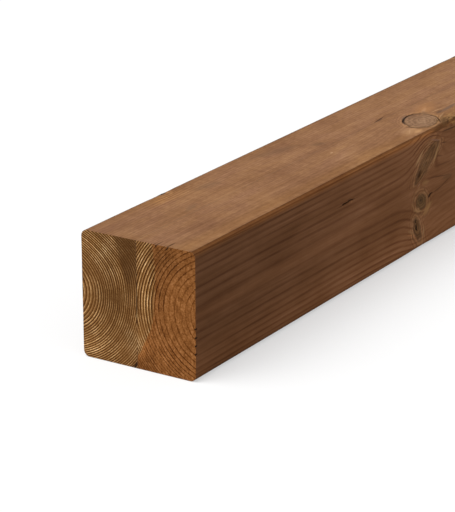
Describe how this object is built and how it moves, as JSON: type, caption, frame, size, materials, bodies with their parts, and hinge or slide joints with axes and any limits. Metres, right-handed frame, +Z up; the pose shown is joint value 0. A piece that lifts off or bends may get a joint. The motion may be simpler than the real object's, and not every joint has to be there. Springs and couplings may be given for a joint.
{
  "type": "glulam post",
  "caption": "Square post of softwood boards glued face to face, planed on all sides, with rounded long arrises and plain sawn ends; carries a porch roof or beam.",
  "frame": {"origin": "middle of the face that the post lies on, half way along its length", "axes": "+Y along the grain, from the near end in the picture to the far end; +Z up, out of the face with both lamellae in view; +X across the lamellae, out of the wide face that shows the knots"},
  "size_m": [0.09, 2.4, 0.09],
  "materials": {
    "lamella_left": "planed, bare softwood",
    "lamella_right": "planed, bare softwood",
    "glue_line": "cured dark adhesive"
  },
  "bodies": {
    "root": {"lamella_left": "lamella_left", "lamella_right": "lamella_right", "glue_line": "glue_line"}
  },
  "joints": []
}
